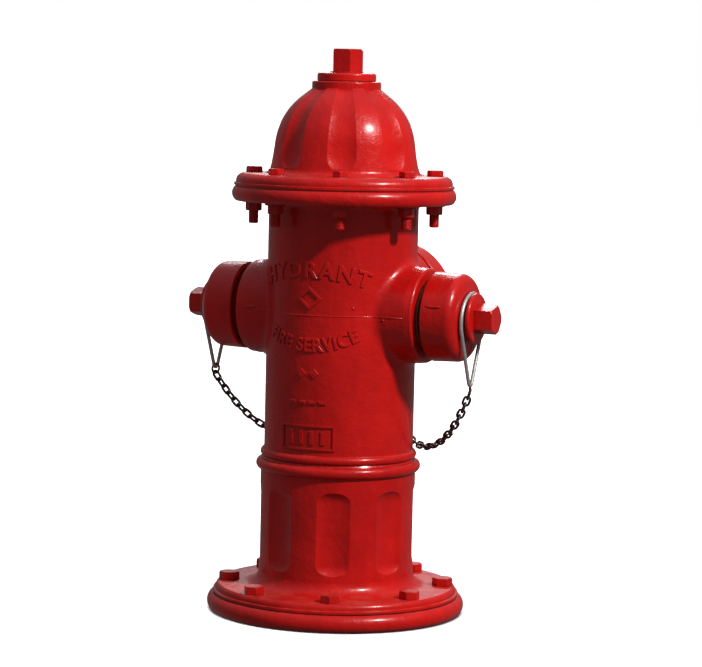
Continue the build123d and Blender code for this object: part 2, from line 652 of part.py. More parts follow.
# ---- assembly ----------------------------------------------------------------------------------------
def build_nodes():
    nodes = {
        "standpipe_flange": standpipe_flange(),
        "flange_gasket": flat_gasket(
            BORE_R + 1, BASE_FLANGE_R - 1.5, GROUND_FLANGE_TOP, BARREL_BOTTOM,
            BASE_BOLT_CIRCLE_R, BASE_BOLT_R + HOLE_GAP),
        "upper_barrel": upper_barrel(),
        "base_bolts": around(base_bolt()),
        "bonnet_gasket": flat_gasket(
            BORE_R - 3, BONNET_FLANGE_R - 1.5, BARREL_TOP, BONNET_BOTTOM,
            BONNET_BOLT_CIRCLE_R, BONNET_BOLT_R + HOLE_GAP),
        "bonnet": bonnet(),
        "bonnet_bolts": around(bonnet_bolt()),
        "bonnet_nuts": around(bonnet_nut()),
        "oil_fill_plug": oil_fill_plug(),
        "seal_plate": seal_plate(),
        "seal_plate_o_ring": o_ring(94.7, 1.2, 563.1),
        "stem_o_rings": [o_ring(SLEEVE_R + 1.5, 1.25, height) for height in (528, 541)],
        "thrust_washer_lower": tube(34.4, 22.2, THRUST_SEAT, THRUST_SEAT + WASHER - 0.05),
        "operating_nut": operating_nut(),
        "thrust_washer_upper": tube(
            34.4, 22.4, THRUST_SEAT + WASHER + 13.05, THRUST_SEAT + 2 * WASHER + 13),
        "hold_down_nut": hold_down_nut(),
        "nut_o_ring": o_ring(NUT_SHAFT_R + 1.55, 1.45, 701.6),
        "upper_stem": upper_stem(),
        "stem_sleeve": stem_sleeve(),
        "stem_coupling": stem_coupling(),
        "coupling_pin": coupling_pin(),
        "coupling_cotter": coupling_cotter(),
        "hose_nozzle_right": TO_PLUS_X * hose_nozzle(),
        "hose_nozzle_left": TO_MINUS_X * hose_nozzle(),
        "pumper_nozzle": TO_PLUS_Y * pumper_nozzle(),
        "hose_nozzle_o_rings": [nozzle_o_ring(side) for side in ("right", "left")],
        "pumper_nozzle_o_ring": nozzle_o_ring("pumper"),
        "hose_set_screws": [set_screw(side, HOSE_SHANK_R + 0.2) for side in ("right", "left")],
        "pumper_set_screw": set_screw("pumper", PUMPER_SHANK_R + 0.1),
        "hose_cap_right": TO_PLUS_X * hose_cap(),
        "hose_cap_left": TO_MINUS_X * hose_cap(),
        "pumper_cap": TO_PLUS_Y * pumper_cap(),
        "hose_cap_gasket_right": TO_PLUS_X * tube(38.9, 30.5, HOSE_TIP + 0.05, HOSE_TIP + GASKET),
        "hose_cap_gasket_left": TO_MINUS_X * tube(38.9, 30.5, HOSE_TIP + 0.05, HOSE_TIP + GASKET),
        "pumper_cap_gasket": TO_PLUS_Y * tube(73.0, 56.0, PUMPER_TIP + 0.05, PUMPER_TIP + GASKET),
        "cap_ring_right": cap_ring(HOSE_RING_AT),
        "cap_ring_left": cap_ring(-HOSE_RING_AT),
        "cap_ring_pumper": Rot(0, 0, 90) * cap_ring(PUMPER_RING_AT),
        "chain_eye": chain_eye(),
        "strap_screw": strap_screw(),
        "chain_right": cap_chain(HOSE_RING_AT, Vector(1, 0, 0), SIDE_CHAIN_LINKS, 62),
        "chain_left": cap_chain(HOSE_RING_AT, Vector(-1, 0, 0), SIDE_CHAIN_LINKS, 62),
        "chain_pumper": cap_chain(PUMPER_RING_AT, Vector(0, 1, 0), PUMPER_CHAIN_LINKS, 90),
    }
    return nodes


def write_nodes(nodes):
    os.makedirs("parts", exist_ok=True)
    for name, shape in nodes.items():
        if isinstance(shape, list):
            shape = Compound(children=[piece.solid() for piece in shape])
        export_step(shape, f"parts/{name}.step")


write_nodes(build_nodes())
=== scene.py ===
"""Fire hydrant: finishes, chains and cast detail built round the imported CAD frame."""

import json
import math
import random

import bmesh
import bpy
from mathutils import Matrix, Vector


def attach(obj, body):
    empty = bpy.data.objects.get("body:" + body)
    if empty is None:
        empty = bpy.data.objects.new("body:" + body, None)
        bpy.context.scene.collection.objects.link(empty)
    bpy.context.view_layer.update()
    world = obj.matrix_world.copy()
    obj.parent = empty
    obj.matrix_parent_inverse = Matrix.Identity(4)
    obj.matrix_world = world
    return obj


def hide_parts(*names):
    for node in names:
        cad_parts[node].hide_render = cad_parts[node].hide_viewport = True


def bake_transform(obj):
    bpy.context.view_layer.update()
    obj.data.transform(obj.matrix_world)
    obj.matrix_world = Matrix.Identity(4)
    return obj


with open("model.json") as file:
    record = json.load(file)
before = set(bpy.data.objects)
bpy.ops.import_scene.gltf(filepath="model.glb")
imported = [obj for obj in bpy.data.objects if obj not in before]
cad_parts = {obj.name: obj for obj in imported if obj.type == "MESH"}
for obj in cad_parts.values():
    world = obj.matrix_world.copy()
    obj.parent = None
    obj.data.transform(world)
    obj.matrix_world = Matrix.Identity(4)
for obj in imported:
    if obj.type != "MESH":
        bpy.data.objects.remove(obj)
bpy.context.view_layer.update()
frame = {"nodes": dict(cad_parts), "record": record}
nodes = frame["nodes"]
rng = random.Random(7)

# ---- sizes shared with the CAD, in metres ------------------------------------------------
BARREL_R = 0.100
OUTLET_Z = 0.404
HOSE_BOSS_R = 0.0635
PUMPER_BOSS_R = 0.088
BOSS_FILLET = 0.014
HOSE_SEAM_END = 0.117
PUMPER_SEAM_END = 0.129
BONNET_BOLT_CIRCLE_R = 0.1206
BONNET_BOLT_R = 0.00635
BOLT_END_Z = 0.518
BONNET_NUT_BOTTOM_Z = 0.5349

EYE = Vector((0, 0.136, 0.300))
EYE_R = 0.010
EYE_WIRE_R = 0.002
HOSE_RING_AT = 0.1886
PUMPER_RING_AT = 0.2021
RING_WIRE_R = 0.0025
RING_APEX = 0.088
LINK_WIRE_R = 0.0014
VISIBLE_WIRE_R = 0.0017     # any thicker and neighbouring links would overlap
LINK_INNER_WIDTH = 0.0054
LINK_INNER_LENGTH = 0.0119
LINK_PITCH = 0.0113
LINK_SLACK = 0.0003
BEND_TAKE_UP = 0.0048
JUMP_RING_R = 0.0066
JUMP_WIRE_R = 0.0015
SIDE_CHAIN_LINKS = 26
PUMPER_CHAIN_LINKS = 12
SIDE_HOLD_TURN = 62         # degrees round the eye at which a side chain's first link hangs
PUMPER_HOLD_TURN = 90

# ---- sizes of the visible detail, in metres ----------------------------------------------
WELD_SWELL = 0.16           # how much fatter a link is at its weld, as a share of its wire
WELD_LENGTH = 0.0012
SEAM_STRAIGHT_END = 0.1
BONNET_BOLTS = 8
BOLT_THREAD_PITCH = 0.00195
BOLT_THREAD_STEPS = 20
RELIEF_DEPTH = 0.0027
RELIEF_EDGE = 0.0006        # rounding of the raised edges
RELIEF_SUNK = 0.0012        # how far the back of the relief lies inside the barrel's skin
RELIEF_SLICE = 0.004        # spacing of the cuts that let flat relief bend round the barrel
GASKET_PAINT_FROM = 0.138   # radius beyond which the gasket's rim is painted

# ---- the view, at the photograph's angle -------------------------------------------------
VIEW_AZIMUTH = 24.918
VIEW_PITCH = 5.377
VIEW_ROLL = 1.319
VIEW_LENS = 135.08
SENSOR_WIDTH = 36
VIEW_DISTANCE = 3.512
VIEW_SHIFT = 0.01332
VIEW_HEIGHT = 0.7038
LIGHT_TARGET = Vector((0, 0, 0.4))
FLOOR_REACH = 40


# ---- material helpers --------------------------------------------------------------------
def add(tree, kind, sockets=None, **settings):
    """A new shader node; sockets holds numbers, colours or links to other nodes' outputs."""
    made = tree.nodes.new("ShaderNode" + kind)
    for key, value in settings.items():
        setattr(made, key, value)
    for key, value in (sockets or {}).items():
        if isinstance(value, bpy.types.NodeSocket):
            tree.links.new(value, made.inputs[key])
        else:
            made.inputs[key].default_value = value
    return made


def object_space(tree, stretch=(1, 1, 1), shift=0.0):
    place = add(tree, "TexCoord").outputs["Object"]
    return add(tree, "Mapping", {
        "Vector": place, "Scale": stretch, "Location": (shift, 1.7 * shift, -shift)}).outputs[0]


def noise(tree, space, scale, detail=3.0, rough=0.55):
    return add(tree, "TexNoise", {
        "Vector": space, "Scale": scale, "Detail": detail, "Roughness": rough}).outputs["Fac"]


def cells(tree, space, scale, output="Distance"):
    return add(tree, "TexVoronoi", {"Vector": space, "Scale": scale}).outputs[output]


def ramp(tree, factor, *stops):
    """Colour ramp through (position, colour or grey) stops."""
    made = add(tree, "ValToRGB", {"Fac": factor})
    elements = made.color_ramp.elements
    while len(elements) < len(stops):
        elements.new(0.5)
    for element, (position, colour) in zip(elements, stops):
        element.position = position
        rgb = colour if isinstance(colour, tuple) else (colour,) * 3
        element.color = (*rgb, 1)
    return made.outputs[0]


def mix(tree, factor, low, high, blend="MIX"):
    made = add(tree, "MixRGB", blend_type=blend)
    for key, value in (("Fac", factor), ("Color1", low), ("Color2", high)):
        if isinstance(value, bpy.types.NodeSocket):
            tree.links.new(value, made.inputs[key])
        elif isinstance(value, tuple):
            made.inputs[key].default_value = (*value, 1)
        else:
            made.inputs[key].default_value = value
    return made.outputs[0]


def bump(tree, height, distance, normal=None):
    sockets = {"Height": height, "Distance": distance, "Strength": 1.0}
    if normal is not None:
        sockets["Normal"] = normal
    return add(tree, "Bump", sockets).outputs[0]


def finish_material(name, build):
    material = bpy.data.materials.new(name)
    material.use_nodes = True
    tree = material.node_tree
    shader = tree.nodes["Principled BSDF"]
    for key, value in build(tree).items():
        if isinstance(value, bpy.types.NodeSocket):
            tree.links.new(value, shader.inputs[key])
        elif isinstance(value, tuple):
            shader.inputs[key].default_value = (*value, 1)
        else:
            shader.inputs[key].default_value = value
    return material


# ---- materials ----------------------------------------------------------------------------
def enamel(tree, shift=0.0):
    """Thick glossy red enamel over a dimpled iron casting, dusty on top, with painted shade darkening its
    corners.
    """
    space = object_space(tree, shift=shift)
    runs = object_space(tree, (1, 1, 0.16), shift)
    patches = ramp(
        tree, noise(tree, space, 9, 4), (0.3, (0.45, 0.0045, 0.004)), (0.7, (0.62, 0.008, 0.006)))
    streaks = ramp(tree, noise(tree, runs, 55, 5), (0.35, 0.90), (0.65, 1.0))
    red = mix(tree, 1.0, patches, streaks, "MULTIPLY")
    # Painted shade: ambient occlusion darkens the red towards dark maroon in corners, creases and
    # recesses, and round the raised letters.
    corner = add(tree, "AmbientOcclusion", {"Distance": 0.009}, samples=4).outputs["AO"]
    painted_corner_shade = ramp(tree, corner, (0.15, 0.85), (0.62, 0.0))
    red = mix(tree, painted_corner_shade, red, (0.045, 0.004, 0.005))
    specks = ramp(tree, cells(tree, space, 95), (0.055, 1.0), (0.085, 0.0))
    chance = ramp(tree, noise(tree, space, 21, 2), (0.56, 0.0), (0.62, 1.0))
    chips = mix(tree, 1.0, specks, chance, "MULTIPLY")
    red = mix(tree, chips, red, (0.11, 0.008, 0.008))
    upward = add(tree, "SeparateXYZ", {"Vector": add(tree, "NewGeometry").outputs["Normal"]}).outputs["Z"]
    level = ramp(tree, upward, (0.75, 0.0), (0.98, 1.0))
    film = ramp(tree, noise(tree, space, 38, 5, 0.65), (0.42, 0.0), (0.75, 0.42))
    dust = mix(tree, 1.0, level, film, "MULTIPLY")
    red = mix(tree, dust, red, (0.42, 0.13, 0.08))
    wear = noise(tree, space, 70, 4)
    rough = ramp(tree, wear, (0.25, 0.27), (0.8, 0.44))
    rough = mix(tree, dust, rough, (0.75, 0.75, 0.75))
    soft_edge = add(tree, "Bevel", {"Radius": 0.0012}, samples=4).outputs[0]
    skin = bump(tree, noise(tree, space, 42, 3), 0.0018, soft_edge)
    skin = bump(tree, noise(tree, runs, 120, 3), 0.0004, skin)
    skin = bump(tree, noise(tree, space, 330, 2), 0.00028, skin)
    skin = bump(tree, chips, 0.0004, skin)
    return {
        "Base Color": red, "Roughness": rough, "Normal": skin,
        "Coat Weight": 0.34, "Coat Roughness": 0.19, "Specular IOR Level": 0.16}


def metal(tree, light, dark, rough, grain, scale, stain, stain_at=0.6, depth=0.0003):
    """Bare metal mottled between two tones, with a rust or patina stain."""
    space = object_space(tree)
    tone = mix(tree, noise(tree, space, scale, 4), dark, light)
    shine = ramp(tree, noise(tree, space, scale * 2.3, 3), (0.3, rough[0]), (0.75, rough[1]))
    stains = noise(tree, space, scale * 0.7, 6, 0.7)
    spread = ramp(tree, stains, (stain_at - 0.07, 0.0), (stain_at + 0.07, 1.0))
    tone = mix(tree, spread, tone, stain)
    shine = mix(tree, spread, shine, (0.82, 0.82, 0.82))
    metallic = ramp(tree, spread, (0.0, 0.95), (1.0, 0.25))
    skin = bump(tree, noise(tree, space, grain, 3), depth)
    return {"Base Color": tone, "Roughness": shine, "Metallic": metallic, "Normal": skin}


def galvanised(tree):
    """Zinc-coated wire: pale grey with flat crystal patches and dull oxide."""
    space = object_space(tree)
    crystals = ramp(
        tree, cells(tree, space, 260, "Color"), (0.0, (0.34, 0.35, 0.35)), (1.0, (0.56, 0.57, 0.57)))
    oxide = ramp(tree, noise(tree, space, 60, 5), (0.45, 0.0), (0.7, 1.0))
    tone = mix(tree, oxide, crystals, (0.50, 0.49, 0.47))
    shine = ramp(tree, noise(tree, space, 150, 3), (0.3, 0.30), (0.7, 0.52))
    return {
        "Base Color": tone, "Roughness": shine, "Metallic": 0.55,
        "Normal": bump(tree, noise(tree, space, 420, 3), 0.00025)}


def plain_solid(tree, light, dark, rough, scale, depth):
    """Rubber, fibre or plastic: fine mottling in colour, gloss and skin."""
    space = object_space(tree)
    tone = mix(tree, noise(tree, space, scale, 4), dark, light)
    shine = ramp(tree, noise(tree, space, scale * 1.7, 3), (0.3, rough[0]), (0.7, rough[1]))
    return {
        "Base Color": tone, "Roughness": shine,
        "Normal": bump(tree, noise(tree, space, scale * 4, 3), depth)}


def painted_gasket(tree):
    """Dark fibre sheet, its rim painted over together with the flanges."""
    found = plain_solid(tree, (0.060, 0.055, 0.050), (0.022, 0.020, 0.019), (0.75, 0.92), 260, 0.0004)
    level = object_space(tree, (1, 1, 0))
    out = add(tree, "VectorMath", {"Vector": level}, operation="LENGTH").outputs["Value"]
    rim = ramp(tree, out, (GASKET_PAINT_FROM, 0.0), (GASKET_PAINT_FROM + 0.001, 1.0))
    found["Base Color"] = mix(tree, rim, found["Base Color"], (0.40, 0.008, 0.009))
    found["Roughness"] = mix(tree, rim, found["Roughness"], (0.34, 0.34, 0.34))
    return found


def floor_finish(tree):
    space = object_space(tree)
    tone = mix(tree, noise(tree, space, 3, 4), (0.84, 0.84, 0.84), (0.88, 0.88, 0.875))
    return {
        "Base Color": tone, "Roughness": ramp(tree, noise(tree, space, 40, 3), (0.3, 0.75), (0.7, 0.9)),
        "Normal": bump(tree, noise(tree, space, 220, 3), 0.0002)}


MATERIALS = {
    "red_enamel": finish_material("red_enamel_paint", enamel),
    "red_bronze": finish_material("red_paint_on_bronze", lambda tree: enamel(tree, 0.37)),
    "raw_iron": finish_material("raw_iron", lambda tree: metal(
        tree, (0.16, 0.155, 0.15), (0.07, 0.068, 0.066), (0.5, 0.75), 500, 60,
        (0.16, 0.055, 0.02), 0.55, 0.0006)),
    "bronze": finish_material("cast_bronze", lambda tree: metal(
        tree, (0.50, 0.30, 0.12), (0.26, 0.15, 0.065), (0.28, 0.48), 600, 70, (0.14, 0.10, 0.06), 0.56)),
    "steel": finish_material("bright_steel", lambda tree: metal(
        tree, (0.60, 0.60, 0.59), (0.42, 0.42, 0.42), (0.2, 0.38), 900, 40,
        (0.22, 0.12, 0.07), 0.7, 0.00015)),
    "galvanised_wire": finish_material("galvanised_wire", galvanised),
    "chain_steel": finish_material("weathered_chain", lambda tree: metal(
        tree, (0.17, 0.16, 0.15), (0.045, 0.041, 0.038), (0.36, 0.62), 900, 130,
        (0.10, 0.040, 0.020), 0.6, 0.0005)),
    "rubber": finish_material("black_rubber", lambda tree: plain_solid(
        tree, (0.030, 0.030, 0.031), (0.014, 0.014, 0.015), (0.55, 0.75), 120, 0.0002)),
    "gasket": finish_material("painted_over_gasket", painted_gasket),
    "acetal": finish_material("acetal", lambda tree: plain_solid(
        tree, (0.78, 0.76, 0.70), (0.70, 0.68, 0.62), (0.30, 0.42), 80, 0.0001)),
}


def paint_cad_nodes():
    for part in frame["record"]["subparts"]:
        piece = nodes[part["node"]]
        piece.data.materials.clear()
        piece.data.materials.append(MATERIALS[part["material_slot"]])


# ---- mesh helpers -------------------------------------------------------------------------
def piece_from(name, verts, faces, slot, body=None, smooth=True):
    """Mesh object in the row frame with a record slot's finish, riding on a body."""
    mesh = bpy.data.meshes.new(name)
    mesh.from_pydata([tuple(v) for v in verts], [], faces)
    shell = bmesh.new()
    shell.from_mesh(mesh)
    bmesh.ops.recalc_face_normals(shell, faces=shell.faces)
    shell.to_mesh(mesh)
    shell.free()
    for polygon in mesh.polygons:
        polygon.use_smooth = smooth
    mesh.materials.append(MATERIALS[slot])
    made = bpy.data.objects.new(name, mesh)
    bpy.context.scene.collection.objects.link(made)
    if body:
        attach(made, body)
    return made


def swept(sections, closed):
    """Faces that join equal rings of points; open sweeps get a cap at each end."""
    count = len(sections[0])
    verts = [point for section in sections for point in section]
    faces = []
    for step in range(len(sections) if closed else len(sections) - 1):
        here = step * count
        there = (step + 1) % len(sections) * count
        for side in range(count):
            after = (side + 1) % count
            faces.append((here + side, here + after, there + after, there + side))
    if not closed:
        faces.append(tuple(range(count)))
        faces.append(tuple(range(len(verts) - count, len(verts))))
    return verts, faces


def joined(parts):
    """Several (verts, faces) pairs as one."""
    verts, faces = [], []
    for part_verts, part_faces in parts:
        start = len(verts)
        verts += part_verts
        faces += [tuple(start + corner for corner in face) for face in part_faces]
    return verts, faces


# ---- chains --------------------------------------------------------------------------------
def catenary(start, end, length):
    """Function giving the point at a distance along a chain that hangs between two points."""
    level = Vector((end.x - start.x, end.y - start.y, 0))
    span = level.length
    rise = end.z - start.z
    goal = math.sqrt(length ** 2 - rise ** 2) / span
    low, high = 0.01, 20.0
    for _ in range(60):
        trial = (low + high) / 2
        if math.sinh(trial) / trial < goal:
            low = trial
        else:
            high = trial
    scale = span / (2 * trial)
    lowest = span / 2 - scale * math.asinh(rise / (2 * scale * math.sinh(trial)))

    def point(distance):
        across = lowest + scale * math.asinh(distance / scale - math.sinh(lowest / scale))
        drop = scale * (math.cosh((across - lowest) / scale) - math.cosh(lowest / scale))
        return start + level.normalized() * across + Vector((0, 0, drop))

    return point


def heading(along, middle):
    return (along(middle + 0.001) - along(middle - 0.001)).normalized()


def link_middles(start, end, links):
    """Curve of a hanging chain, and how far along it each link lies: closer where it bends."""
    reach = LINK_INNER_LENGTH / 2 - LINK_SLACK
    length = links * LINK_PITCH
    for _ in range(8):
        along = catenary(start, end, length)
        middles = [reach - EYE_WIRE_R]
        while len(middles) < links:
            here = middles[-1]
            bend = heading(along, here).angle(heading(along, here + LINK_PITCH))
            middles.append(here + LINK_PITCH - BEND_TAKE_UP * (1 - math.cos(bend)))
        length = middles[-1] + reach - JUMP_WIRE_R
    return along, middles


def wire_loop(bend, straight, wire, origin, side, forward, weld=0.0):
    """Closed wire loop with straight sides; weld is how much fatter one side is at its butt joint."""
    normal = side.cross(forward).normalized()
    arc_steps, side_steps, round_steps = 8, 5, 10
    path = []
    for end in (1, -1):
        for step in range(arc_steps + 1):
            turn = math.pi * step / arc_steps
            outward = side * (end * math.cos(turn)) + forward * (end * math.sin(turn))
            path.append((outward * bend + forward * (end * straight / 2), outward, 0.0))
        for step in range(1, side_steps):
            along = straight / 2 - straight * step / side_steps
            swell = math.exp(-((along / WELD_LENGTH) ** 2)) if end == 1 else 0.0
            path.append((side * (-end * bend) + forward * (end * along), side * -end, swell))
    sections = []
    for point, outward, swell in path:
        radius = wire * (1 + weld * swell)
        ring = []
        for step in range(round_steps):
            turn = 2 * math.pi * step / round_steps
            ring.append(origin + point + (outward * math.cos(turn) + normal * math.sin(turn)) * radius)
        sections.append(ring)
    return swept(sections, closed=True)


def hanging_chain(name, ring_distance, direction, links, turn, stands_for):
    """Welded links from the strap eye to a cap's wire ring."""
    turn = math.radians(turn)
    side = direction.x
    apex = direction * ring_distance + Vector((0, 0, OUTLET_Z - RING_APEX))
    jump_centre = apex - Vector((0, 0, JUMP_RING_R - RING_WIRE_R - JUMP_WIRE_R - LINK_SLACK))
    hold = EYE + Vector((EYE_R * math.cos(turn) * side, 0, -EYE_R * math.sin(turn)))
    normal = Vector((math.sin(turn), 0, math.cos(turn) * side))
    along, middles = link_middles(hold, jump_centre - Vector((0, 0, JUMP_RING_R)), links)
    bend = LINK_INNER_WIDTH / 2 + LINK_WIRE_R
    straight = LINK_INNER_LENGTH + 2 * LINK_WIRE_R - 2 * bend
    parts = []
    for middle in middles:
        forward = heading(along, middle)
        normal = (normal - forward * normal.dot(forward)).normalized()
        across = forward.cross(normal)
        parts.append(wire_loop(bend, straight, VISIBLE_WIRE_R, along(middle), across, forward, WELD_SWELL))
        normal = across
    up = Vector((0, 0, 1))
    jump_side = up.cross(normal.cross(up)).normalized()
    parts.append(wire_loop(JUMP_RING_R, 0.0001, JUMP_WIRE_R, jump_centre, jump_side, up))
    verts, faces = joined(parts)
    made = piece_from(name, verts, faces, "chain_steel")
    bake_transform(made)
    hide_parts(stands_for)
    return made


# ---- cast detail ----------------------------------------------------------------------------
def seam(name, path, width=0.0022, height=0.0006):
    """Low ridge along a parting line; path holds (point, outward normal) pairs in one level plane."""
    sections = []
    for index, (point, outward) in enumerate(path):
        swell = 1 + 0.35 * math.sin(index * 1.7) * math.sin(index * 0.31 + 1)
        end = 0.15 if index in (0, len(path) - 1) else 1.0
        ring = []
        for across, up in ((-1, -0.6), (-0.62, 0.45), (0, 1), (0.62, 0.45), (1, -0.6)):
            lift = outward * (up * height * swell * (end if up > 0 else 1))
            ring.append(point + Vector((0, 0, across * width / 2)) + lift)
        sections.append(ring)
    verts, faces = swept(sections, closed=False)
    return piece_from(name, verts, faces, "red_enamel", "hydrant")


def arc_points(centre, radius, start, end, steps, inward=False):
    """(point, normal) pairs along a level arc, angles in radians; inward for a fillet."""
    found = []
    for step in range(steps + 1):
        turn = start + (end - start) * step / steps
        ray = Vector((math.cos(turn), math.sin(turn), 0))
        found.append((centre + ray * radius, -ray if inward else ray))
    return found


def front_seam():
    """Parting line across the -Y side, from one hose boss to the other."""
    level = Vector((0, 0, OUTLET_Z))
    reach = BARREL_R + BOSS_FILLET
    drop = HOSE_BOSS_R + BOSS_FILLET
    along = math.sqrt(reach ** 2 - drop ** 2)
    lean = math.atan2(drop, along)
    right_ball = level + Vector((along, -drop, 0))
    left_ball = level + Vector((-along, -drop, 0))
    path = [(level + Vector((HOSE_SEAM_END, -HOSE_BOSS_R, 0)), Vector((0, -1, 0)))]
    path += [(level + Vector((SEAM_STRAIGHT_END, -HOSE_BOSS_R, 0)), Vector((0, -1, 0)))]
    path += arc_points(right_ball, BOSS_FILLET, math.pi / 2, math.pi - lean, 8, inward=True)
    path += arc_points(level, BARREL_R, -lean - 0.01, lean - math.pi + 0.01, 60)
    path += arc_points(left_ball, BOSS_FILLET, lean, math.pi / 2, 8, inward=True)
    path += [(level + Vector((-SEAM_STRAIGHT_END, -HOSE_BOSS_R, 0)), Vector((0, -1, 0)))]
    path += [(level + Vector((-HOSE_SEAM_END, -HOSE_BOSS_R, 0)), Vector((0, -1, 0)))]
    return seam("parting_line_front", path)


def rear_seam(side):
    """Parting line from a hose boss round to the pumper boss; side is 1 for +X and -1 for -X."""
    level = Vector((0, 0, OUTLET_Z))
    ball = Vector((PUMPER_BOSS_R + BOSS_FILLET, HOSE_BOSS_R + BOSS_FILLET, OUTLET_Z))
    path = [(level + Vector((HOSE_SEAM_END, HOSE_BOSS_R, 0)), Vector((0, 1, 0)))]
    path += arc_points(ball, BOSS_FILLET, -math.pi / 2, -math.pi, 8, inward=True)
    path += [(level + Vector((PUMPER_BOSS_R, PUMPER_SEAM_END, 0)), Vector((1, 0, 0)))]
    flip = Matrix.Diagonal((side, 1, 1))
    path = [(flip @ point, flip @ outward) for point, outward in path]
    return seam("parting_line_right" if side > 0 else "parting_line_left", path)


def wart(name, centre, outward, along, sizes, body="hydrant"):
    """Small lump left by the casting: sizes are its half length, half width and height."""
    outward = outward.normalized()
    along = (along - outward * along.dot(outward)).normalized()
    across = outward.cross(along)
    rows, count = 5, 14
    sections = []
    for row in range(rows):
        lift = math.sin(math.pi / 2 * row / rows)
        shrink = math.cos(math.pi / 2 * row / rows) ** 0.7
        ring = []
        for step in range(count):
            turn = 2 * math.pi * step / count
            uneven = 1 + rng.uniform(-0.06, 0.06)
            flat = along * (math.cos(turn) * sizes[0]) + across * (math.sin(turn) * sizes[1])
            height = outward * (lift * sizes[2] - 0.25 * sizes[2])
            ring.append(centre + flat * (shrink * uneven) + height)
        sections.append(ring)
    verts, faces = swept(sections, closed=False)
    return piece_from(name, verts, faces, "red_enamel", body)


def outline_mesh(splines):
    """Flat filled outlines given as closed lists of (x, y), raised with soft edges."""
    curve = bpy.data.curves.new("outline", "CURVE")
    curve.dimensions = "2D"
    curve.fill_mode = "BOTH"
    curve.extrude = RELIEF_DEPTH / 2 - RELIEF_EDGE
    curve.bevel_depth = RELIEF_EDGE
    curve.bevel_resolution = 2
    for points in splines:
        spline = curve.splines.new("POLY")
        spline.points.add(len(points) - 1)
        for point, (x, y) in zip(spline.points, points):
            point.co = (x, y, 0, 1)
        spline.use_cyclic_u = True
    return mesh_of(curve)


def word_mesh(word, size, spacing):
    curve = bpy.data.curves.new("word", "FONT")
    curve.body = word
    curve.size = size
    curve.space_character = spacing
    curve.align_x = "CENTER"
    curve.extrude = RELIEF_DEPTH / 2 - RELIEF_EDGE
    curve.bevel_depth = RELIEF_EDGE
    curve.bevel_resolution = 2
    curve.offset = 0.0004
    return mesh_of(curve)


def mesh_of(curve):
    holder = bpy.data.objects.new("holder", curve)
    bpy.context.scene.collection.objects.link(holder)
    evaluated = holder.evaluated_get(bpy.context.evaluated_depsgraph_get())
    mesh = bpy.data.meshes.new_from_object(evaluated)
    bpy.data.objects.remove(holder)
    bpy.data.curves.remove(curve)
    return mesh


def relief(name, mesh, place):
    """Wraps a flat raised mesh on to the barrel's -Y side; place maps (x, y) to (round, up)."""
    shell = bmesh.new()
    shell.from_mesh(mesh)
    bpy.data.meshes.remove(mesh)
    bmesh.ops.remove_doubles(shell, verts=shell.verts, dist=0.00002)
    reach = max(abs(vert.co.x) for vert in shell.verts)
    cut = -reach + 0.003
    while cut < reach:
        bmesh.ops.bisect_plane(
            shell, geom=shell.verts[:] + shell.edges[:] + shell.faces[:],
            plane_co=(cut, 0, 0), plane_no=(1, 0, 0))
        cut += RELIEF_SLICE
    low = min(vert.co.z for vert in shell.verts)
    verts = []
    for vert in shell.verts:
        around, up = place(vert.co.x, vert.co.y)
        radius = BARREL_R + vert.co.z - low - RELIEF_SUNK
        turn = around / BARREL_R
        verts.append((radius * math.sin(turn), -radius * math.cos(turn), up))
    shell.verts.index_update()
    faces = [tuple(vert.index for vert in face.verts) for face in shell.faces]
    shell.free()
    return piece_from(name, verts, faces, "red_enamel", "hydrant", smooth=False)


def arched(radius, base):
    """Writing that rises in the middle, on a circle of the given radius."""
    def place(x, y):
        turn = x / radius
        return (radius + y) * math.sin(turn), base + (radius + y) * math.cos(turn) - radius
    return place


def cupped(radius, base):
    """Writing that dips in the middle."""
    def place(x, y):
        turn = x / radius
        return (radius - y) * math.sin(turn), base + radius - (radius - y) * math.cos(turn)
    return place


def straight(base):
    return lambda x, y: (x, base + y)


def bar(x, y, length, height):
    """Corners of a plain bar with its middle at (x, y)."""
    corners = []
    for across, up in ((-1, -1), (1, -1), (1, 1), (-1, 1)):
        corners.append((x + across * length / 2, y + up * height / 2))
    return corners


def lozenge(x, y, half_width, half_height):
    return [(x - half_width, y), (x, y - half_height), (x + half_width, y), (x, y + half_height)]


def cast_relief():
    """Two generic words and plain marks in low relief on the -Y side of the barrel."""
    relief("relief_upper_word", word_mesh("HYDRANT", 0.029, 1.25), arched(0.24, 0.454))
    mark = [lozenge(0, 0, 0.017, 0.015), lozenge(0, 0, 0.0125, 0.0105)]
    relief("relief_lozenge", outline_mesh(mark), straight(0.4265))
    relief("relief_lower_word", word_mesh("FIRE SERVICE", 0.024, 1.05), cupped(0.15, 0.357))
    pair = [lozenge(x, 0, 0.006, 0.006) for x in (-0.009, 0.009)]
    relief("relief_pair", outline_mesh(pair), straight(0.328))
    dashes = [bar(x, 0, 0.009, 0.0035) for x in (-0.021, -0.007, 0.007, 0.021)]
    relief("relief_dashes", outline_mesh(dashes), straight(0.290))
    pips = [bar(x, 0, 0.0045, 0.017) for x in (-0.0225, -0.0075, 0.0075, 0.0225)]
    relief("relief_pips", outline_mesh(pips), straight(0.2435))


